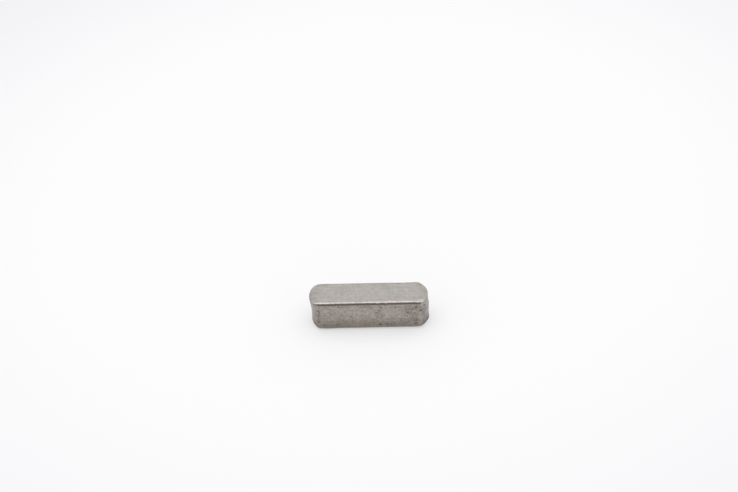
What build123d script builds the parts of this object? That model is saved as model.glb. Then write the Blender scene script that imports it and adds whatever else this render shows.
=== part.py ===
"""Parallel key with rounded ends, for a 4 mm keyway.

A length of drawn square bar with chamfered long edges, whose two ends are milled
to shallow arcs in plan. The chamfers run the full length of the bar, so each arc
cuts them off and meets the flanks at an upright corner. The lower rim of each end
is rounded, so that the key drops into its keyway; the upper rim stays sharp.

Units are millimetres. The origin is the centre of the bottom face, +X runs along
the key and +Z points out of the keyway.
"""

import os

from build123d import *

# Bar stock
key_width = 4.0  # flank to flank, the size that fits the keyway
key_height = 4.0  # bottom face to top face
edge_chamfer = 0.23  # leg of the 45 degree chamfer on each long edge
edge_blend = 0.15  # radius where a chamfer runs into a face, left by drawing and tumbling

# Ends
key_length = 14.0  # tip to tip
end_crown = 1.05  # how far the tip of each end stands beyond its two corners
end_lead_in = 0.35  # radius of the round on the lower rim of each end

half_length = key_length / 2
half_width = key_width / 2
end_radius = (half_width**2 + end_crown**2) / (2 * end_crown)  # of the arc, in plan
arc_spacing = key_length - 2 * end_radius  # between the centres of the two end arcs

# The form milled round the ends: wider than the bar, so only its ends touch it
with BuildPart() as end_form:
    with BuildSketch(Plane.XY):
        SlotCenterToCenter(arc_spacing, 2 * end_radius)
    extrude(amount=key_height)
    fillet(end_form.edges().group_by(Axis.Z)[0], radius=end_lead_in)

with BuildPart() as parallel_key:
    # The bar: its chamfered section, drawn along X
    with BuildSketch(Plane.YZ) as bar_section:
        Rectangle(key_width, key_height, align=(Align.CENTER, Align.MIN))
        chamfer(bar_section.vertices(), length=edge_chamfer)
        fillet(bar_section.vertices(), radius=edge_blend)
    extrude(amount=half_length, both=True)

    # The ends: everything outside the milled form is cut away
    add(end_form.part, mode=Mode.INTERSECT)

parallel_key.part.label = "parallel_key"

os.makedirs("parts", exist_ok=True)
export_step(parallel_key.part, "parts/parallel_key.step")
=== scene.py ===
"""Dresses the parallel key: its worn steel skin as one fine mesh, the steel itself, a table and soft light.

The skin repeats the key's solid and adds what making, wear and handling leave on it: ends milled a
little unevenly, worn edges, knocked corners, faint waves, pits and nicks. It carries named masks that
tell the steel where it is ground, milled, burnished, pitted, stained, rusty or smudged, and where shade
and a highlight are painted on.
"""

import math

import bpy
import numpy as np
from mathutils import Matrix, Vector


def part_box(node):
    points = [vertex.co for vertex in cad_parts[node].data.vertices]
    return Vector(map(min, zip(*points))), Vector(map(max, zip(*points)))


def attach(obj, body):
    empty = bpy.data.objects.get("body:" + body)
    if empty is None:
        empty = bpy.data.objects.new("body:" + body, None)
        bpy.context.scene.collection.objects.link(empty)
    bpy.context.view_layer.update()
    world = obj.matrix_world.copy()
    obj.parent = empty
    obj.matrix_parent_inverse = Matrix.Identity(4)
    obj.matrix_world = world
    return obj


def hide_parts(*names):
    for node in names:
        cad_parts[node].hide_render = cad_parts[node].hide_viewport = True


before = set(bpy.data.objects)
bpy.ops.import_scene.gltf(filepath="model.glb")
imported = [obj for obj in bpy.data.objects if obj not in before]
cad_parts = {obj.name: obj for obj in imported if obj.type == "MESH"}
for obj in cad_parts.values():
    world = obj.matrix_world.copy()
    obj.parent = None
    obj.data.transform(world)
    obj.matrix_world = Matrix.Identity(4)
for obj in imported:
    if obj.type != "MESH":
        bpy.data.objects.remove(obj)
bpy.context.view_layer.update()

MM = 0.001
NODE = "parallel_key"
SEED = 14  # of all the random wear
rng = np.random.default_rng(SEED)

# ---------------------------------------------------------------- sizes of the key
low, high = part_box(NODE)
LENGTH = high.x - low.x
WIDTH = high.y - low.y
HEIGHT = high.z - low.z
CHAMFER = 0.26 * MM  # leg of the 45 degree chamfer on each upper long edge
LOWER_CHAMFER = 0.29 * MM  # leg of the same chamfer on each lower edge, worn wider
RIGHT_ARC = (2.26 * MM, -0.24 * MM)  # the end's radius in plan, and its centre's place across the key
LEFT_ARC = (2.43 * MM, -0.05 * MM)
LEAD_IN = 0.40 * MM  # radius of the round on the lower rim of each end
BURNISH = 0.32 * MM  # radius worn where a chamfer meets the top or bottom face
FLANK_BLEND = 0.22 * MM  # radius where a chamfer meets a flank
RIM_BREAK = 0.05 * MM  # radius on the upper rim of each end
RIGHT_CENTRE = LENGTH / 2 - RIGHT_ARC[0]
LEFT_CENTRE = LENGTH / 2 - LEFT_ARC[0]

# Radius worn on each upright corner at its foot and above CORNER_RISE, with the corner's side in x and y
CORNERS = (
    (0.5 * MM, 0.5 * MM, 1, 1),
    (1.4 * MM, 0.3 * MM, 1, -1),
    (0.7 * MM, 0.7 * MM, -1, -1),
    (0.5 * MM, 0.5 * MM, -1, 1),
)
CORNER_RISE = 1.4 * MM  # height over which the one radius eases into the other
SHARPENED = 0.65  # share of that radius that the top face's own corners lack

# ---------------------------------------------------------------- how fine the skin is
FLANK_STEPS = 60
ARC_STEPS = 5
CHAMFER_STEPS = 4
FACE_STEPS = 30
HALF_SIDE_STEPS = 98
CORNER_STEPS = 9
HALF_END_STEPS = 40

# ---------------------------------------------------------------- wear
WAVE_DEPTH = 0.004 * MM
WAVE_CELL = (3.0, 1.5, 1.5)  # size of one wave along x, y and z, in mm
DRAWING_DEPTH = 0.0012 * MM
DRAWING_CELL = (3.5, 0.16, 0.16)
MILLING_DEPTH = 0.0022 * MM
MILLING_CELL = (0.2, 0.2, 2.5)
SCATTERED_PITS = 260
PITS_PER_SPOT = 3
PITTED_SPOT = 0.35  # a dirt spot has pits when its radius in mm is under this
PIT_SCATTER = 0.1 * MM  # how far those pits stray from the spot's middle
PIT_RADIUS = (0.07 * MM, 0.14 * MM)
PIT_DEPTH = 0.013 * MM
CHAMFER_SPARED = 0.8  # share of a pit's depth that the chamfers lack
EDGE_NICKS = 20
NICKED_TURN = (0.55, 0.98)  # where nicks lie on an edge, by its surface's turn from upright to level
NICK_RADIUS = (0.09 * MM, 0.24 * MM)
NICK_DEPTH = 0.016 * MM
EDGE_NOTCH = np.array([2.1, -1.75, 3.97]) * MM

# Where the form is knocked in or stands proud: place, radius and push, all in mm
KNOCKS = (
    (6.40, 1.20, 4.0, 1.40, -0.05, -0.01, -0.01),
    (7.00, -0.20, 2.3, 1.20, 0.055, 0.00, 0.00),
    (6.90, -0.60, 1.1, 1.00, -0.04, 0.00, 0.00),
    (6.65, -1.20, 0.3, 1.00, -0.08, 0.05, 0.05),
    (-6.60, -1.20, 0.6, 1.20, 0.035, 0.02, 0.02),
    (4.00, 1.90, 4.0, 2.60, 0.00, -0.03, -0.01),
    (-6.90, -0.80, 3.8, 1.20, -0.06, 0.00, 0.00),
    (-6.80, -0.60, 1.8, 1.60, 0.07, 0.00, 0.00),
    (6.40, -1.70, 4.0, 0.50, -0.01, 0.01, -0.02),
    (-6.45, -1.60, 4.0, 0.70, -0.10, 0.00, 0.00),
    (-6.25, 1.75, 4.0, 0.40, 0.02, -0.03, -0.02),
    (-6.60, 1.05, 4.0, 0.90, -0.03, 0.01, 0.00),
    (-4.80, -2.00, 0.2, 1.30, 0.00, -0.03, -0.02),
)

# Dirt spots, dirty patches and painted shade in sight: place and radius in mm, darkness from 0 to 1
SPOTS = (
    # on the front flank
    (1.45, -2, 3.4, 0.18, 0.75), (1.25, -2, 2.9, 0.19, 0.7), (3.25, -2, 3.4, 0.15, 0.65),
    (4.4, -2, 3.1, 0.20, 0.8), (5.0, -2, 3.3, 0.16, 0.7), (5.3, -2, 3.0, 0.16, 0.75),
    (5.65, -2, 3.3, 0.23, 0.9), (4.6, -2, 2.5, 0.17, 0.7), (4.95, -2, 2.65, 0.16, 0.6),
    (5.45, -2, 2.35, 0.21, 0.75), (4.55, -2, 2.0, 0.15, 0.7), (5.1, -2, 1.6, 0.17, 0.6),
    (5.5, -2, 1.3, 0.23, 0.8), (5.5, -2, 0.8, 0.24, 0.85), (3.1, -2, 2.1, 0.12, 0.5),
    (3.1, -2, 1.5, 0.12, 0.5), (2.3, -2, 1.5, 0.20, 0.4), (1.3, -2, 0.75, 0.22, 0.9),
    (2.1, -2, 0.7, 0.24, 0.7), (2.6, -2, 0.65, 0.20, 0.6), (2.9, -2, 1.0, 0.19, 0.6),
    (3.8, -2, 1.2, 0.24, 0.6), (4.7, -2, 1.1, 0.20, 0.6), (0.7, -2, 1.6, 0.16, 0.4),
    (-1.45, -2, 2.4, 0.15, 0.5), (-2.1, -2, 2.0, 0.32, 0.5), (-2.0, -2, 1.25, 0.16, 0.6),
    (-3.8, -2, 0.8, 0.28, 0.5), (-4.35, -2, 2.4, 0.15, 0.5), (-5.3, -2, 0.75, 0.32, 0.6),
    (-2.5, -2, 1.3, 0.22, 0.3), (-4.8, -2, 1.2, 0.20, 0.3),
    # its dirty patches
    (5.65, -2, 2.0, 0.35, 0.45), (5.65, -2, 2.9, 0.35, 0.45), (4.95, -2, 3.05, 0.80, 0.42),
    (5.5, -2, 1.3, 0.50, 0.50), (5.1, -2, 2.2, 0.60, 0.34),
    (2.6, -2, 0.8, 0.90, 0.32), (4.0, -2, 0.9, 0.80, 0.34), (-0.2, -2, 0.7, 1.20, 0.25),
    (-2.4, -2, 0.8, 1.00, 0.20), (-4.6, -2, 0.8, 1.00, 0.22),
    # down the two front corners
    (-5.88, -2, 2.95, 0.18, 0.9), (-5.9, -2, 2.6, 0.16, 0.6), (-5.93, -2, 2.2, 0.18, 0.8),
    (-5.97, -2, 1.75, 0.16, 0.6),
    (-6.0, -1.95, 1.3, 0.19, 0.9), (-6.0, -1.95, 0.8, 0.20, 0.5), (6.04, -2.09, 1.73, 0.12, 0.3),
    # on the two end walls
    (6.17, -1.96, 2.78, 0.21, 0.95), (6.14, -1.96, 3.33, 0.17, 0.7), (6.57, -1.56, 3.23, 0.19, 0.8),
    (6.47, -1.66, 2.33, 0.18, 0.5), (6.52, -1.61, 0.88, 0.30, 0.6), (6.77, -1.16, 0.93, 0.26, 0.5),
    (6.52, -1.66, 2.73, 0.65, 0.34), (5.98, -1.86, 3.8, 0.16, 0.9), (6.17, -1.8, 3.86, 0.11, 0.6),
    (6.27, -1.68, 3.88, 0.08, 0.5),
    (-6.29, -1.78, 3.77, 0.15, 0.7), (-6.36, -1.68, 2.15, 0.20, 0.5), (-6.50, -1.46, 0.65, 0.24, 0.6),
    (-6.20, -1.81, 0.65, 0.22, 0.5), (-6.45, -1.56, 1.25, 0.50, 0.22),
    # on the top
    (2.1, 0.9, 4, 0.14, 0.4), (0.6, 1.5, 4, 0.16, 0.5), (-6.1, 1.15, 4, 0.15, 0.4),
    (5.97, 1.38, 4, 0.20, 0.6), (6.58, 0.72, 4, 0.14, 0.5), (-6.45, -0.65, 4, 0.22, 0.35),
    (1.4, 1.1, 4, 0.25, 0.25),
    # painted shade above the lower rim of the right end, where it faces down
    (6.62, -1.25, 0.5, 0.25, 0.6), (6.82, -0.85, 0.6, 0.25, 0.6), (6.93, -0.45, 0.8, 0.30, 0.5),
)

# Rusty patches in sight, in the same form
RUST = (
    (-1.6, -2, 1.2, 0.42, 0.6), (0.4, -2, 1.2, 0.42, 0.5), (0.45, -2, 1.7, 0.18, 0.8),
    (-5.88, -2, 2.95, 0.24, 0.9), (-5.92, -2, 2.5, 0.26, 0.6), (-5.95, -2, 2.05, 0.26, 0.7),
    (-5.97, -2, 1.65, 0.24, 0.6), (-6.0, -1.95, 1.25, 0.22, 0.8), (-6.3, -1.7, 3.9, 0.3, 0.3),
    (2.2, -2, 0.73, 0.26, 0.8), (1.3, -2, 0.8, 0.22, 0.5), (5.2, -2, 2.2, 0.45, 0.35),
    (3.9, -2, 2.7, 0.42, 0.25), (6.0, 1.35, 4, 0.24, 0.7), (2.1, -1.68, 3.96, 0.15, 0.7),
    (-6.4, -1.65, 3.9, 0.30, 0.35), (4.4, -2, 1.0, 0.50, 0.25), (6.9, 0.1, 4, 0.30, 0.25),
)

# Where handling has left a soft dark smudge, in the same form
SMUDGES = (
    (-6.45, 0.2, 4, 0.45, 0.9), (-6.4, -0.8, 4, 0.40, 0.7), (-6.2, 1.0, 4, 0.35, 0.4),
    (-5.6, -2, 2.4, 0.55, 1.0), (-6.1, -1.9, 2.4, 0.50, 0.6), (-6.1, -1.9, 1.4, 0.50, 0.5),
    (4.6, -2, 2.6, 0.55, 0.8), (5.2, -2, 2.2, 0.60, 0.7), (5.7, -2, 2.6, 0.45, 1.0),
    (5.7, -2, 1.7, 0.45, 1.0), (6.0, -1.83, 3.83, 0.22, 0.9),
    (6.22, -2.01, 3.03, 0.50, 0.6), (6.32, -1.91, 2.03, 0.50, 0.5), (6.62, -1.36, 2.53, 0.50, 0.4),
    (-0.9, -2, 2.6, 0.60, 0.3), (1.3, -2, 2.4, 0.50, 0.4), (-2.2, -2, 2.1, 0.60, 0.3),
    (0.3, -2, 3.3, 0.45, 0.45), (1.2, -2, 3.3, 0.50, 0.5), (2.1, -2, 3.3, 0.45, 0.5),
    (-1.7, -2, 1.9, 0.50, 0.5), (0.3, -2, 1.8, 0.35, 0.5), (1.9, -2, 1.75, 0.30, 0.4),
    (3.1, -2, 2.2, 0.40, 0.4), (5.25, -2, 1.25, 0.30, 0.7), (-5.85, -2, 3.3, 0.30, 0.5),
    (-5.2, -2, 2.8, 0.30, 0.4),
    (-6.85, 0.4, 4, 0.40, 1.2), (-6.9, -0.2, 4, 0.40, 1.4), (-6.8, -0.8, 4, 0.40, 1.2),
    (-6.1, -1.25, 4, 0.50, 0.6), (-5.9, 1.3, 4, 0.40, 0.4), (0.6, -1.2, 4, 0.50, 0.35),
    (1.5, -1.25, 4, 0.40, 0.3), (3.4, -1.25, 4, 0.50, 0.4), (4.4, -1.2, 4, 0.50, 0.5),
    (5.3, -1.2, 4, 0.45, 0.35), (6.3, -1.15, 4, 0.45, 0.6), (6.4, -0.3, 4, 0.60, 0.3),
    (6.2, 0.8, 4, 0.50, 0.4),
)

# The same out of sight, at random places: how many, from which to which radius in mm, and darkness
HIDDEN_SPOTS = (90, (0.12, 0.26), (0.3, 0.8))
HIDDEN_PATCHES = (16, (0.5, 1.1), (0.2, 0.32))
HIDDEN_RUST = (22, (0.15, 0.45), (0.3, 0.8))
HIDDEN_SMUDGES = (14, (0.35, 0.8), (0.3, 0.8))
HIDDEN_TOP = 0.97  # share of the key's height that they keep below

# ---------------------------------------------------------------- where each finish lies
# The surface's turn goes from 0 where it is upright to 1 where it is level
CHAMFER_RISE = 5  # how steeply the chamfers' mask rises with the turn
CHAMFER_FALL = 8  # how steeply it falls again
CHAMFER_END = 0.78  # the turn where it has fallen to nothing
FRONT_FADE = 0.5 * MM  # width about the key's middle line where front turns into back
BURNISH_TURN = 0.8  # the turn where an edge is burnished most
BURNISH_FALL = 4.5  # how steeply that falls away on both sides
BACK_POLISH = 0.35  # share of the front edges' polish that the back edges have
RIM_POLISH = 0.6  # polish on the upper rim of each end
RIM_REACH = 2  # how far down that goes, in times RIM_BREAK
CORNER_HIGHLIGHT = 0.6  # painted highlight down the right end's front corner
CORNER_PLACE = 0.25  # share of the way round the corner where it is strongest
CORNER_SPREAD = 0.25
BACK_EDGE = 0.6  # how dark the top's back edge is, as a share of the chamfers
BACK_EDGE_TURN = 0.85  # the turn where it is darkest
BACK_EDGE_SPREAD = 0.1
RIM_SHADE_TOP = 2.2  # height of the painted shade on the ends' lower rims, where they face down, in times LEAD_IN
RIM_SHADE = (0.8, 0.45)  # how dark it is at the right end and at the left one


# ---------------------------------------------------------------- the skin's form
def key_edge(leg):
    """One upper quarter of the bar's section, from mid-height up and in to the edge of the top face.

    It is a straight flank, an arc of FLANK_BLEND turning 45 degrees, the straight chamfer of that
    leg and an arc of BURNISH turning the other 45. Returns half-width, height above mid-height and
    the turn of the surface from upright (0) to level (1).
    """
    tangent = math.tan(math.radians(22.5))
    diagonal = math.sqrt(0.5)
    top = HEIGHT / 2
    flank_top = top - leg - FLANK_BLEND * tangent
    face_edge = WIDTH / 2 - leg - BURNISH * tangent
    low_arc = np.linspace(0, math.pi / 4, ARC_STEPS + 1)
    high_arc = np.linspace(math.pi / 4, math.pi / 2, ARC_STEPS + 1)
    flank_z = np.linspace(0, flank_top, FLANK_STEPS // 2 + 1)[:-1]
    along = np.linspace(0, 1, CHAMFER_STEPS + 1)[1:-1]
    start = (WIDTH / 2 - FLANK_BLEND * (1 - diagonal), flank_top + FLANK_BLEND * diagonal)
    end = (face_edge + BURNISH * diagonal, top - BURNISH * (1 - diagonal))
    w = np.concatenate([
        np.full(len(flank_z), WIDTH / 2),
        WIDTH / 2 - FLANK_BLEND * (1 - np.cos(low_arc)),
        start[0] + (end[0] - start[0]) * along,
        face_edge + BURNISH * np.cos(high_arc),
    ])
    z = np.concatenate([
        flank_z,
        flank_top + FLANK_BLEND * np.sin(low_arc),
        start[1] + (end[1] - start[1]) * along,
        top - BURNISH * (1 - np.sin(high_arc)),
    ])
    turn = np.concatenate([0 * flank_z, low_arc, 0 * along + math.pi / 4, high_arc]) / (math.pi / 2)
    return w, z, turn


def key_section():
    """Half of the bar's section, from the bottom face out and up to the top face."""
    w, z, turn = key_edge(CHAMFER)
    low_w, low_z, low_turn = key_edge(LOWER_CHAMFER)
    w = np.concatenate([low_w[:0:-1], w])
    z = np.concatenate([-low_z[:0:-1], z]) + HEIGHT / 2
    turn = np.concatenate([low_turn[:0:-1], turn])
    return w, z, turn


def quarter_outline(half_width, inset, corner, end_radius, offset):
    """A quarter of the key's outline in plan at each level, as rows of points.

    It runs from the middle of a side along the flank, round the upright corner and along the end arc
    to the tip. The flank lies at half_width. The end arc is end_radius less inset, about a centre
    that lies offset from the middle line. The corner is an arc of that radius tangent to both. Also
    returns how far each point lies on the end: 0 on the flank, 1 on the end arc.
    """
    w = half_width[:, None]
    corner = corner[:, None]
    radius = (end_radius - inset)[:, None]
    centre = LENGTH / 2 - end_radius
    corner_x = centre + np.sqrt((radius - corner) ** 2 - (w - corner - offset) ** 2)
    corner_angle = np.arctan2(w - corner - offset, corner_x - centre)
    side = np.linspace(0, 1, HALF_SIDE_STEPS + 1)[:-1][None, :]
    bend = np.linspace(0, 1, CORNER_STEPS + 1)[:-1][None, :]
    tip = np.linspace(0, 1, HALF_END_STEPS + 1)[None, :]
    bend_angle = math.pi / 2 + (corner_angle - math.pi / 2) * bend
    end_angle = corner_angle * (1 - tip)
    x = np.hstack([
        corner_x * side,
        corner_x + corner * np.cos(bend_angle),
        centre + radius * np.cos(end_angle),
    ])
    y = np.hstack([
        w + 0 * corner_x * side,
        w - corner + corner * np.sin(bend_angle),
        offset + radius * np.sin(end_angle),
    ])
    return np.array([x, y, np.hstack([0 * corner_x * side, 0 * corner_x + bend, 1 + 0 * end_angle])])


def plan_outline(half_width, inset, z, turn):
    """The key's whole outline in plan at each level: four quarters, each with its own worn corner.

    The ring starts at the middle of the back flank and goes by the right end, the front flank and
    the left end. A corner's radius eases from its foot's to its upper one over CORNER_RISE, and
    shrinks again by SHARPENED as the surface turns level. Returns x, y and the share of an end for
    each point (levels x around).
    """
    rise = np.clip(z / CORNER_RISE, 0, 1)
    rise = rise * rise * (3 - 2 * rise)
    quarters = []
    for foot, upper, side_x, side_y in CORNERS:
        end_radius, shift = RIGHT_ARC if side_x > 0 else LEFT_ARC
        corner = foot + (upper * (1 - SHARPENED * turn) - foot) * rise
        quarter = quarter_outline(half_width, inset, corner, end_radius, shift * side_y)
        quarter = quarter * np.array([side_x, side_y, 1])[:, None, None]
        quarters.append(quarter[..., :-1] if side_x == side_y else quarter[..., :0:-1])
    return np.concatenate(quarters, axis=-1)


def key_grid():
    """The whole skin as a grid of points, levels x around, from the bottom's middle to the top's.

    The wall is the plan outline carried up the section. Its ends are drawn in by a quarter round of
    LEAD_IN at the lower rim and of RIM_BREAK at the upper one. Each flat face is its outline shrunk
    towards the face's middle line. Returns the points, the surface's turn and its share of an end.
    """
    w, z, turn = key_section()
    lower = np.clip(LEAD_IN - z, 0, LEAD_IN)
    upper = np.clip(RIM_BREAK - (HEIGHT - z), 0, RIM_BREAK)
    inset = LEAD_IN - np.sqrt(LEAD_IN**2 - lower**2) + RIM_BREAK - np.sqrt(RIM_BREAK**2 - upper**2)
    wall_x, wall_y, on_end = plan_outline(w, inset, z, turn)
    shrink = np.linspace(1, 0, FACE_STEPS + 1)[1:-1][:, None]

    def face(edge_x, edge_y):
        """Rings that shrink from the face's edge to its middle line."""
        line_x = np.clip(edge_x, -LEFT_CENTRE, RIGHT_CENTRE)
        return line_x + shrink * (edge_x - line_x), shrink * edge_y

    bottom_x, bottom_y = face(wall_x[0], wall_y[0])
    top_x, top_y = face(wall_x[-1], wall_y[-1])
    x = np.vstack([bottom_x[::-1], wall_x, top_x])
    y = np.vstack([bottom_y[::-1], wall_y, top_y])
    level = np.zeros(len(shrink))
    z = np.concatenate([level, z, level + HEIGHT])
    turn = np.concatenate([level + 1, turn, level + 1])
    on_end = np.vstack([0 * bottom_x, on_end, 0 * top_x])
    z = np.repeat(z[:, None], x.shape[1], axis=1)
    turn = np.repeat(turn[:, None], x.shape[1], axis=1)
    return np.stack([x, y, z], axis=-1), turn, on_end


def grid_faces(levels, around):
    """Quads between neighbouring rings, and a strip across the first and last ring to close them.

    The strip joins each point to its mirror image across the middle line.
    """
    level = np.arange(levels - 1)[:, None] * around
    here = np.arange(around)[None, :]
    ahead = (here + 1) % around
    wall = np.stack([level + here, level + around + here, level + around + ahead, level + ahead], axis=-1)
    quarter = around // 4
    one = np.concatenate([np.arange(quarter), np.arange(3 * quarter, around)])
    mirror = (2 * quarter - one) % around
    strip = np.stack([one, (one + 1) % around, (mirror - 1) % around, mirror], axis=-1)
    top = strip[:, ::-1] + (levels - 1) * around
    quads = np.concatenate([wall.reshape(-1, 4), strip, top]).tolist()
    return [list(dict.fromkeys(quad)) for quad in quads]


def grid_normals(points):
    """Outward unit normals of a closed grid, by differences along both of its directions."""
    around = np.roll(points, -1, axis=1) - np.roll(points, 1, axis=1)
    along = np.gradient(points, axis=0)
    normal = np.cross(along, around)
    size = np.linalg.norm(normal, axis=-1, keepdims=True)
    return normal / np.maximum(size, 1e-15)


# ---------------------------------------------------------------- the skin's wear
def lumps(points, cell):
    """Smooth random values in space: a lattice of normal numbers, one each cell, eased between."""
    place = (points + np.array([LENGTH, WIDTH, HEIGHT])) / (np.array(cell) * MM)
    corner = np.floor(place).astype(int)
    ease = place - corner
    ease = ease * ease * (3 - 2 * ease)
    lattice = rng.standard_normal(corner.reshape(-1, 3).max(axis=0) + 2)
    value = 0
    for step in np.ndindex(2, 2, 2):
        share = np.where(step, ease, 1 - ease).prod(axis=-1)
        value = value + share * lattice[tuple(np.moveaxis(corner + step, -1, 0))]
    return value


def bowls(points, centres, radii):
    """Round hollows, 1 deep in their middle: (1 - (distance / radius)^2)^2 inside each radius."""
    hollow = np.zeros(points.shape[:-1])
    for centre, radius in zip(centres, radii):
        reach = np.square(points - centre).sum(axis=-1) / radius**2
        hollow = np.maximum(hollow, np.square(np.clip(1 - reach, 0, 1)))
    return hollow


def clouds(points, spots):
    """The darkest of many soft round clouds: darkness * exp(-(distance / radius)^2) for each spot."""
    cover = np.zeros(points.shape[:-1])
    for x, y, z, radius, dark in spots:
        place = np.array([x, y, z]) * MM
        reach = np.square(points - place).sum(axis=-1) / (radius * MM) ** 2
        cover = np.maximum(cover, dark * np.exp(-reach))
    return cover


def hidden_spots(points, count, radii, darkness):
    """Spots at random places on the far flank and on the far halves of the ends and the bottom."""
    flat = points.reshape(-1, 3)
    flat = flat[(flat[:, 1] > 0) & (flat[:, 2] < HIDDEN_TOP * HEIGHT)]
    places = flat[rng.integers(len(flat), size=count)] / MM
    return np.column_stack([places, rng.uniform(*radii, count), rng.uniform(*darkness, count)])


points, turn, on_end = key_grid()
normals = grid_normals(points)
levels, around = turn.shape
sides = 1 - on_end
chamfered = np.clip(turn * CHAMFER_RISE, 0, 1) * np.clip((CHAMFER_END - turn) * CHAMFER_FALL, 0, 1) * sides
spots = np.vstack([SPOTS, hidden_spots(points, *HIDDEN_SPOTS)])
patches = hidden_spots(points, *HIDDEN_PATCHES)
rust = np.vstack([RUST, hidden_spots(points, *HIDDEN_RUST)])
smudges = np.vstack([SMUDGES, hidden_spots(points, *HIDDEN_SMUDGES)])
stain_and_shade = clouds(points, np.vstack([spots, patches]))

flat = points.reshape(-1, 3)
edge = flat[(turn.ravel() > NICKED_TURN[0]) & (turn.ravel() < NICKED_TURN[1])]
small_spots = spots[spots[:, 3] < PITTED_SPOT]
spot_pits = np.repeat(small_spots[:, :3] * MM, PITS_PER_SPOT, axis=0)
spot_pits = spot_pits + rng.normal(0, PIT_SCATTER, spot_pits.shape)
pit_centres = np.vstack([flat[rng.integers(len(flat), size=SCATTERED_PITS)], spot_pits])
pit = bowls(points, pit_centres, rng.uniform(*PIT_RADIUS, len(pit_centres)))
pit = pit * (1 - CHAMFER_SPARED * chamfered)
nick_centres = np.vstack([edge[rng.integers(len(edge), size=EDGE_NICKS)], EDGE_NOTCH])
nick = bowls(points, nick_centres, rng.uniform(*NICK_RADIUS, len(nick_centres)))

relief = (
    WAVE_DEPTH * lumps(points, WAVE_CELL)
    + DRAWING_DEPTH * lumps(points, DRAWING_CELL) * sides
    + MILLING_DEPTH * lumps(points, MILLING_CELL) * on_end
    - PIT_DEPTH * pit
    - NICK_DEPTH * nick
)
shifted = points + relief[..., None] * normals
for x, y, z, radius, push_x, push_y, push_z in KNOCKS:
    knock = bowls(points, [np.array([x, y, z]) * MM], [radius * MM])
    shifted = shifted + knock[..., None] * np.array([push_x, push_y, push_z]) * MM
points = shifted

mesh = bpy.data.meshes.new("key_skin")
mesh.from_pydata(points.reshape(-1, 3).tolist(), [], grid_faces(levels, around))
mesh.shade_smooth()

front = np.clip(0.5 - flat[:, 1].reshape(turn.shape) / FRONT_FADE, 0, 1)
burnish = np.clip(1 - np.abs(turn - BURNISH_TURN) * BURNISH_FALL, 0, 1) * sides
burnish = burnish * (BACK_POLISH + (1 - BACK_POLISH) * front)
right = points[..., 0] > 0
# painted shade on the ends' lower rims, where they face down
rim_shade = np.clip(RIM_SHADE_TOP - points[..., 2] / LEAD_IN, 0, 1) * on_end * np.where(right, *RIM_SHADE)
# painted highlight down the right end's front corner
corner = np.exp(-np.square((on_end - CORNER_PLACE) / CORNER_SPREAD)) * (on_end > 0) * front * right
rim = np.clip((points[..., 2] - HEIGHT) / RIM_BREAK + RIM_REACH, 0, 1) * on_end
back_edge = np.exp(-np.square((turn - BACK_EDGE_TURN) / BACK_EDGE_SPREAD)) * (turn < 1) * sides * (1 - front)
masks = {
    "face": np.clip(turn * 4 - 3, 0, 1),  # full where level, gone at three quarters of the turn
    # the chamfers, darker partly as drawn scale and partly as painted shade, and the top's back edge
    "chamfer": np.maximum(chamfered, BACK_EDGE * back_edge),
    # burnish on the edges and upper rims, and the painted highlight on the right end's front corner
    "burnished_and_highlight": np.clip(burnish + CORNER_HIGHLIGHT * corner + RIM_POLISH * rim, 0, 1),
    "milled": on_end,
    "pitted": pit,
    # stains, and the painted shade on the ends' lower rims
    "stained_and_shaded": np.maximum(stain_and_shade, rim_shade),
    "rusty": clouds(points, rust),
    "smudged": clouds(points, smudges),
}
for name, values in masks.items():
    mask_values = values.astype(np.float32).ravel()
    mesh.attributes.new(name, "FLOAT", "POINT").data.foreach_set("value", mask_values)

skin = bpy.data.objects.new("key_skin", mesh)
bpy.context.scene.collection.objects.link(skin)
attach(skin, "root")
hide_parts(NODE)


# ---------------------------------------------------------------- shader helpers
def node(tree, kind, inputs=None, **options):
    """Adds a shader node, sets its options and fills its sockets with numbers or with other sockets."""
    new = tree.nodes.new("ShaderNode" + kind)
    for name, value in options.items():
        setattr(new, name, value)
    for name, value in (inputs or {}).items():
        if isinstance(value, bpy.types.NodeSocket):
            tree.links.new(value, new.inputs[name])
        else:
            new.inputs[name].default_value = value
    return new


def fade(tree, value, start, end, first=0.0, last=1.0):
    """Eases from first to last while value goes from start to end."""
    sockets = {"Value": value, "From Min": start, "From Max": end, "To Min": first, "To Max": last}
    return node(tree, "MapRange", sockets, interpolation_type="SMOOTHSTEP").outputs["Result"]


def maths(tree, operation, first, second):
    """One sum of two numbers or sockets."""
    return node(tree, "Math", {0: first, 1: second}, operation=operation).outputs[0]


def noise(tree, where, scale, detail, roughness=0.5, stretch=(1, 1, 1)):
    """Noise of so many cells to the millimetre, its cells stretched by one over stretch."""
    place = node(tree, "Mapping", {"Vector": where, "Scale": stretch}).outputs[0]
    sockets = {"Vector": place, "Scale": scale, "Detail": detail, "Roughness": roughness}
    return node(tree, "TexNoise", sockets).outputs["Fac"]


def blend(tree, share, first, second):
    """Mixes two colours."""
    sockets = {0: share, 6: first, 7: second}
    return node(tree, "Mix", sockets, data_type="RGBA").outputs[2]


# ---------------------------------------------------------------- the steel
GROUND = (0.462, 0.436, 0.411, 1)  # the flat faces
# the flanks, darker than the flat faces partly as a duller skin and partly as painted shade
FLANK_AND_SHADE = (0.385, 0.352, 0.315, 1)
MILLED = (0.370, 0.345, 0.322, 1)  # the ends
SCALE = (0.385, 0.342, 0.316, 1)  # the chamfers, darker partly as drawn scale and partly as painted shade
BRIGHT = (0.470, 0.440, 0.431, 1)  # the burnished edges, and the painted highlight on the right end's front corner
# dark oxide of the dirt, which also paints the shade on the ends' lower rims
OXIDE_AND_SHADE = (0.115, 0.096, 0.078, 1)
# darkening towards the walls' feet: partly grime, partly painted shade
GRIME_AND_SHADE = (0.215, 0.185, 0.158, 1)
RUSTED = (0.300, 0.205, 0.150, 1)
WARM = (1.020, 0.997, 0.970, 1)
COOL = (0.986, 1.000, 1.018, 1)

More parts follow.
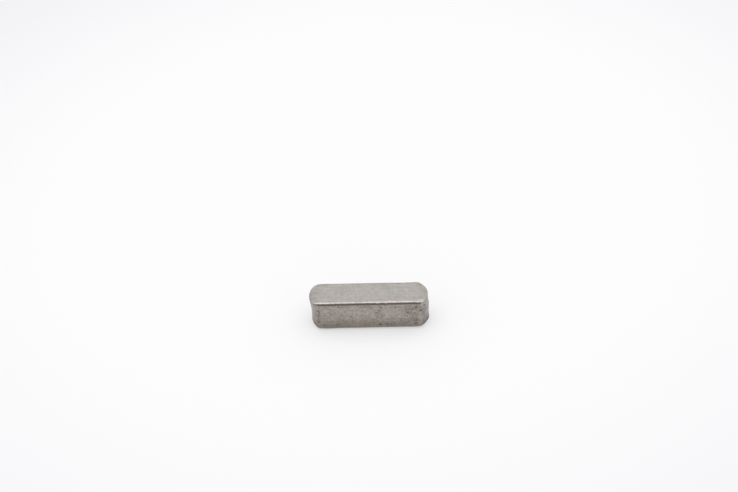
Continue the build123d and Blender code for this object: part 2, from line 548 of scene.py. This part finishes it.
# Patterns in the steel: cells to the millimetre, detail, roughness, and one over the cells' stretch
PATTERNS = {
    "broad": (0.8, 3),
    "hue": (1.7, 3),
    "mottle": (3.6, 4, 0.6),
    "specks": (6.5, 4, 0.62),
    "drawn": (1, 4, 0.65, (0.5, 26, 26)),
    "bands": (1, 3, 0.6, (0.4, 3.5, 3.5)),
    "streaks": (1, 3, 0.6, (0.35, 11, 11)),
    "cut": (1, 3, 0.6, (14, 14, 0.5)),
}
SPREAD = (0.3, 0.7)  # most of a pattern's values lie between these
HUE_SPREAD = (0.35, 0.65)
CALM = 0.8  # share of the patterns that the chamfers and the burnished edges lack
FACE_PATCHES = 0.5  # share of the flanks' patches that the ground faces have

# How much each pattern lightens or darkens the steel
LINE_TONE = (0.94, 1.06)
BROAD_TONE = 0.07
MOTTLE_TONE = (-0.21, 0.18)
BAND_TONE = 0.09
STREAK_TONE = 0.06
SMUDGE_TONE = 0.18
UNDER_EDGE_TONE = 0.08  # the flanks are darker below their upper edges
UNDER_EDGE = (3.2, 3.6)  # heights in mm where that starts and is full

WORN_SPREAD = (0.3, 0.6)  # values of the broad pattern where an edge is worn least and most
WORN_SHARE = (0.65, 1.0)
GRIME_AND_SHADE_HEIGHT = (1.3, 2.8)  # heights in mm where the darkening on the walls, part grime and part painted shade, starts and ends to thin out
GRIME_AND_SHADE_RAGGED = 1.4  # how much the hue pattern adds to a place's height there, in mm
GRIME_AND_SHADE_SHARE = 0.64
RUST_SPREAD = (0.3, 0.6)  # values of the specks where rust is thinnest and thickest
RUST_SHARE = (0.25, 0.8)
STAIN_AND_SHADE = 0.42  # what stains with the painted rim shade, and pits, add to the specks, and what the ground faces take away
PIT_DIRT = 0.08
FACE_DIRT = 0.09
DIRT_AND_SHADE_EDGE = (0.56, 0.92)  # sums of those where dirt and the painted rim shade start and are full
DIRT_AND_SHADE_SHARE = 0.9

ROUGHNESS = 0.39
SPECK_ROUGHNESS = 0.07
DIRT_ROUGHNESS = 0.2
BURNISHED_SHINE = 0.14  # what burnishing takes off the roughness
CHAMFER_SHINE = 0.12
BUMP_HEIGHT = 0.006 * MM
SPECK_BUMP = 0.8  # height of the specks and depth of the dirt, beside the drawing and milling lines
DIRT_BUMP = 1.2


def drawn_steel():
    """Dull drawn steel: ground faces, milled ends, dark chamfers partly painted shade, bright edges, a
    painted corner highlight, rust specks, and grime with painted shade low on the walls and rims.
    """
    material = bpy.data.materials.new("drawn_steel")
    material.use_nodes = True
    tree = material.node_tree
    shader = tree.nodes["Principled BSDF"]
    place = node(tree, "TexCoord").outputs["Object"]
    where = node(tree, "Mapping", {"Vector": place, "Scale": (1 / MM, 1 / MM, 1 / MM)}).outputs[0]
    height = node(tree, "SeparateXYZ", {0: where}).outputs["Z"]
    mask = {name: node(tree, "Attribute", attribute_name=name).outputs["Fac"] for name in masks}

    pattern = {name: noise(tree, where, *sizes) for name, sizes in PATTERNS.items()}
    broad, hue, specks = pattern["broad"], pattern["hue"], pattern["specks"]
    making = {0: mask["milled"], 2: pattern["drawn"], 3: pattern["cut"]}
    lines = node(tree, "Mix", making, data_type="FLOAT").outputs[0]
    walls = maths(tree, "SUBTRACT", 1.0, mask["face"])
    flank = maths(tree, "SUBTRACT", walls, mask["milled"])
    clean = maths(tree, "SUBTRACT", 1.0, maths(tree, "MULTIPLY", mask["chamfer"], CALM))
    unworn_unhighlighted = maths(tree, "SUBTRACT", 1.0, maths(tree, "MULTIPLY", mask["burnished_and_highlight"], CALM))
    textured = maths(tree, "MULTIPLY", clean, unworn_unhighlighted)

    colour = blend(tree, mask["face"], FLANK_AND_SHADE, GROUND)
    colour = blend(tree, mask["milled"], colour, MILLED)
    colour = blend(tree, mask["chamfer"], colour, SCALE)
    # burnish, and the painted highlight on the right end's front corner
    worn_and_highlight = maths(tree, "MULTIPLY", mask["burnished_and_highlight"], fade(tree, broad, *WORN_SPREAD, *WORN_SHARE))
    colour = blend(tree, worn_and_highlight, colour, BRIGHT)
    tint = blend(tree, fade(tree, hue, *HUE_SPREAD), WARM, COOL)
    colour = node(tree, "VectorMath", {0: colour, 1: tint}, operation="MULTIPLY").outputs[0]

    rest = maths(tree, "MULTIPLY", fade(tree, walls, 0, 1, FACE_PATCHES, 1.0), clean)
    mottled = fade(tree, pattern["mottle"], *SPREAD, *MOTTLE_TONE)
    patches = maths(tree, "ADD", fade(tree, broad, *SPREAD, -BROAD_TONE, BROAD_TONE), mottled)
    patches = maths(tree, "ADD", patches, fade(tree, pattern["bands"], *SPREAD, -BAND_TONE, BAND_TONE))
    patches = maths(tree, "MULTIPLY", patches, rest)
    under_edge = maths(tree, "MULTIPLY", fade(tree, height, *UNDER_EDGE, 0.0, UNDER_EDGE_TONE), flank)
    dull = maths(tree, "ADD", maths(tree, "MULTIPLY", mask["smudged"], SMUDGE_TONE), under_edge)
    tone = maths(tree, "SUBTRACT", fade(tree, lines, *SPREAD, *LINE_TONE), dull)
    tone = maths(tree, "ADD", tone, patches)
    bar = maths(tree, "MULTIPLY", maths(tree, "SUBTRACT", 1.0, mask["milled"]), clean)
    streaked = fade(tree, pattern["streaks"], *SPREAD, -STREAK_TONE, STREAK_TONE)
    tone = maths(tree, "ADD", tone, maths(tree, "MULTIPLY", streaked, bar))
    colour = node(tree, "VectorMath", {0: colour, "Scale": tone}, operation="SCALE").outputs[0]

    ragged = maths(tree, "ADD", height, maths(tree, "MULTIPLY", hue, GRIME_AND_SHADE_RAGGED))
    # darker towards the walls' feet: partly grime, partly painted shade
    grime_and_shade = maths(tree, "MULTIPLY", fade(tree, ragged, *GRIME_AND_SHADE_HEIGHT, GRIME_AND_SHADE_SHARE, 0.0), walls)
    colour = blend(tree, grime_and_shade, colour, GRIME_AND_SHADE)
    rust = maths(tree, "MULTIPLY", mask["rusty"], fade(tree, specks, *RUST_SPREAD, *RUST_SHARE))
    colour = blend(tree, rust, colour, RUSTED)

    # dirt, and the painted shade on the ends' lower rims, darken the steel towards the oxide colour
    dirt_and_shade = maths(tree, "MULTIPLY", mask["stained_and_shaded"], STAIN_AND_SHADE)
    dirt_and_shade = maths(tree, "ADD", dirt_and_shade, maths(tree, "MULTIPLY", mask["pitted"], PIT_DIRT))
    dirt_and_shade = maths(tree, "SUBTRACT", dirt_and_shade, maths(tree, "MULTIPLY", mask["face"], FACE_DIRT))
    dirt_and_shade = fade(tree, maths(tree, "ADD", dirt_and_shade, specks), *DIRT_AND_SHADE_EDGE, 0.0, DIRT_AND_SHADE_SHARE)
    dirt_and_shade = maths(tree, "MULTIPLY", dirt_and_shade, clean)
    colour = blend(tree, dirt_and_shade, colour, OXIDE_AND_SHADE)
    tree.links.new(colour, shader.inputs["Base Color"])

    speckled = fade(tree, specks, *SPREAD, -SPECK_ROUGHNESS, SPECK_ROUGHNESS)
    rough = maths(tree, "MULTIPLY", speckled, textured)
    rough = maths(tree, "ADD", rough, maths(tree, "MULTIPLY", dirt_and_shade, DIRT_ROUGHNESS))
    rough = maths(tree, "ADD", rough, ROUGHNESS)
    rough = maths(tree, "SUBTRACT", rough, maths(tree, "MULTIPLY", mask["burnished_and_highlight"], BURNISHED_SHINE))
    rough = maths(tree, "SUBTRACT", rough, maths(tree, "MULTIPLY", mask["chamfer"], CHAMFER_SHINE))
    tree.links.new(rough, shader.inputs["Roughness"])
    shader.inputs["Metallic"].default_value = 1

    grain = maths(tree, "ADD", lines, maths(tree, "MULTIPLY", specks, SPECK_BUMP))
    grain = maths(tree, "SUBTRACT", grain, maths(tree, "MULTIPLY", dirt_and_shade, DIRT_BUMP))
    bump = node(tree, "Bump", {"Strength": textured, "Distance": BUMP_HEIGHT, "Height": grain})
    tree.links.new(bump.outputs[0], shader.inputs["Normal"])
    return material


mesh.materials.append(drawn_steel())

# ---------------------------------------------------------------- table, light and camera
FLOOR_SIZE = 4.0
PAPER = (0.935, 0.935, 0.943, 1)
# the paper's tone outside a painted pool of light about the key
FAR_PAPER = (0.832, 0.832, 0.855, 1)
FADE_CENTRE = (-0.002, 0.027, 0)  # centre of the painted pool of light, the paper's brightest place, a little behind the key
FADE_DISTANCE = (0.038, 0.10)  # from there, where the painted pool of light starts and ends to fall off
FLOOR_GLOW = 0.48  # share of the table's look that glows in the paper's tone, to lighten the shadow
ROOM = 0.72  # brightness of the walls
CEILING = 1.85  # brightness straight overhead
CEILING_EDGE = (0.60, 0.95)  # sines of the heights where the ceiling's light starts and is full
DIM_HEIGHT = math.radians(45)  # angle above the table at which the room's dim patch stands
DIM_DIRECTION = (0, -math.cos(DIM_HEIGHT), math.sin(DIM_HEIGHT))
DIM_EDGE = (math.cos(math.radians(25)), math.cos(math.radians(13)))  # cosines of where it starts and is full
DIM = 0.15  # share of the room's brightness that is left in it


def white_table():
    """Matt white paper with a painted pool of light about the key, part of it glowing for the camera and for
    reflections only.
    """
    material = bpy.data.materials.new("table_white")
    material.use_nodes = True
    tree = material.node_tree
    tree.nodes.clear()
    place = node(tree, "TexCoord").outputs["Object"]
    ends = {0: place, 1: FADE_CENTRE}
    distance = node(tree, "VectorMath", ends, operation="DISTANCE").outputs["Value"]
    colour = blend(tree, fade(tree, distance, *FADE_DISTANCE), PAPER, FAR_PAPER)
    paper = node(tree, "BsdfDiffuse", {"Color": colour}).outputs[0]
    glow = node(tree, "Emission", {"Color": colour}).outputs[0]
    ray = node(tree, "LightPath")
    seen = maths(tree, "MAXIMUM", ray.outputs["Is Camera Ray"], ray.outputs["Is Glossy Ray"])
    share = maths(tree, "MULTIPLY", seen, FLOOR_GLOW)
    look = node(tree, "MixShader", {0: share, 1: paper, 2: glow}).outputs[0]
    node(tree, "OutputMaterial", {"Surface": look})
    return material


def studio_world():
    """A white room with a bright ceiling and one dim patch, high on the side the key's flank faces.

    The brightness rises from ROOM to CEILING with the direction's height, and falls to DIM of that
    around the patch's direction.
    """
    world = bpy.data.worlds.new("studio")
    world.use_nodes = True
    tree = world.node_tree
    tree.nodes.clear()
    direction = node(tree, "TexCoord").outputs["Generated"]
    height = node(tree, "SeparateXYZ", {0: direction}).outputs["Z"]
    toward = {0: direction, 1: DIM_DIRECTION}
    facing = node(tree, "VectorMath", toward, operation="DOT_PRODUCT").outputs["Value"]
    ceiling = fade(tree, height, *CEILING_EDGE, ROOM, CEILING)
    strength = maths(tree, "MULTIPLY", ceiling, fade(tree, facing, *DIM_EDGE, 1, DIM))
    light = node(tree, "Background", {"Color": (1, 1, 1, 1), "Strength": strength}).outputs[0]
    node(tree, "OutputWorld", {"Surface": light})
    return world


floor_mesh = bpy.data.meshes.new("table")
reach = FLOOR_SIZE / 2
floor_corners = [(-reach, -reach, 0), (reach, -reach, 0), (reach, reach, 0), (-reach, reach, 0)]
floor_mesh.from_pydata(floor_corners, [], [(0, 1, 2, 3)])
floor = bpy.data.objects.new("table", floor_mesh)
bpy.context.scene.collection.objects.link(floor)
floor_mesh.materials.append(white_table())
bpy.context.scene.world = studio_world()

CAMERA_AIM = Vector((-0.856, 13.661, 0)) * MM
CAMERA_DISTANCE = 177.24 * MM
CAMERA_AZIMUTH, CAMERA_ELEVATION, CAMERA_ROLL = 5.905, 38.842, -5.092
CAMERA_LENS = 67.92
turned = (
    Matrix.Rotation(math.radians(CAMERA_AZIMUTH), 4, "Z")
    @ Matrix.Rotation(math.radians(90 - CAMERA_ELEVATION), 4, "X")
    @ Matrix.Rotation(math.radians(CAMERA_ROLL), 4, "Z")
)
camera = bpy.data.objects.new("camera", bpy.data.cameras.new("camera"))
camera.data.lens = CAMERA_LENS
camera.data.clip_start = 1 * MM
stand = CAMERA_AIM + turned.to_3x3() @ Vector((0, 0, CAMERA_DISTANCE))
camera.matrix_world = Matrix.Translation(stand) @ turned
bpy.context.scene.collection.objects.link(camera)
bpy.context.scene.camera = camera
bpy.context.scene.view_settings.view_transform = "Standard"
